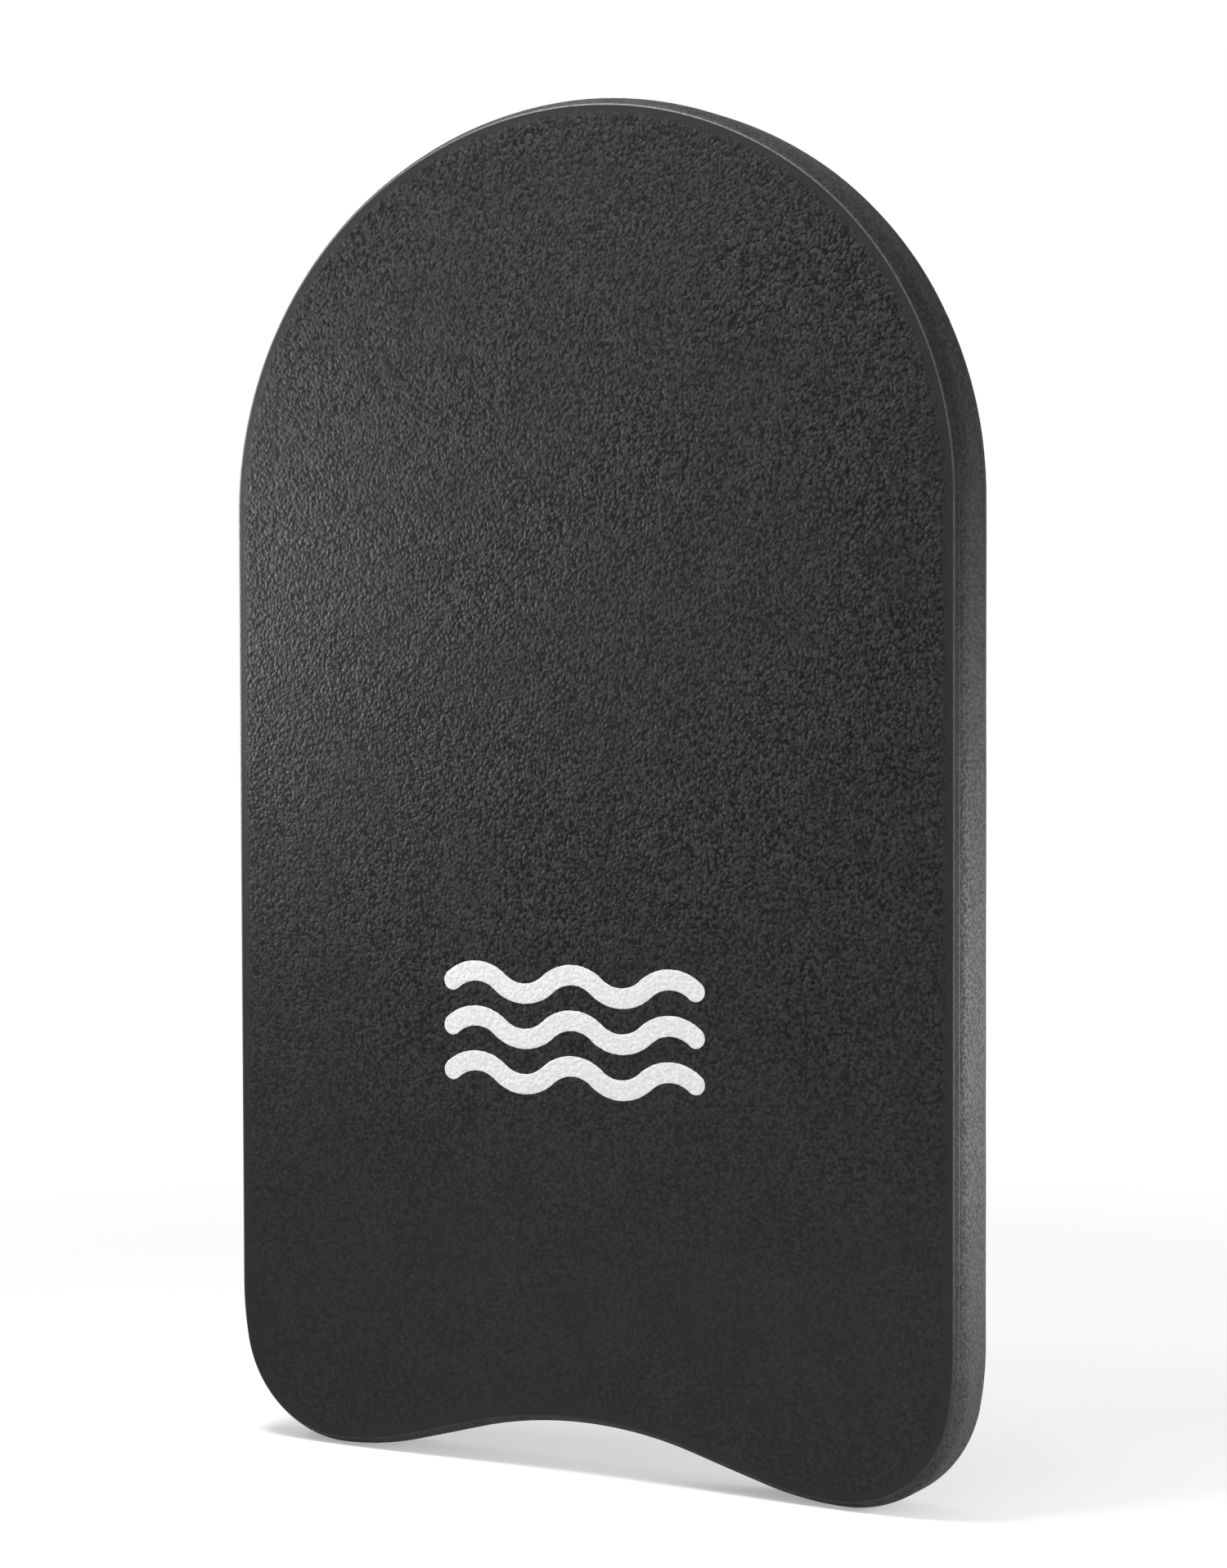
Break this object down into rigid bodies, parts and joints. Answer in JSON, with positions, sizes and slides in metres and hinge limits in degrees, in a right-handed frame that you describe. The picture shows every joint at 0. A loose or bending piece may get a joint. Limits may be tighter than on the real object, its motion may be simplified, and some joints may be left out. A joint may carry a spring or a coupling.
{
  "type": "swimming kickboard",
  "caption": "Flat foam kickboard with a half-round nose, straight sides, two rounded tail lobes, bulged side walls, embossed faces and a printed wave mark.",
  "frame": {"origin": "midway between the two tail lobes, on the surface that they stand on, in the middle of the thickness", "axes": "+Z from the tail to the nose, +X across the board to its right edge as seen from the printed face, and the printed face looks along -Y"},
  "size_m": [0.286, 0.0251, 0.4719],
  "materials": {
    "core_foam": "matte",
    "skin_foam": "satin",
    "white_ink": "matte"
  },
  "bodies": {
    "root": {"core_slab": "core_foam", "front_skin": "skin_foam", "back_skin": "skin_foam", "printed_wave_upper": "white_ink", "printed_wave_middle": "white_ink", "printed_wave_lower": "white_ink"}
  },
  "joints": []
}
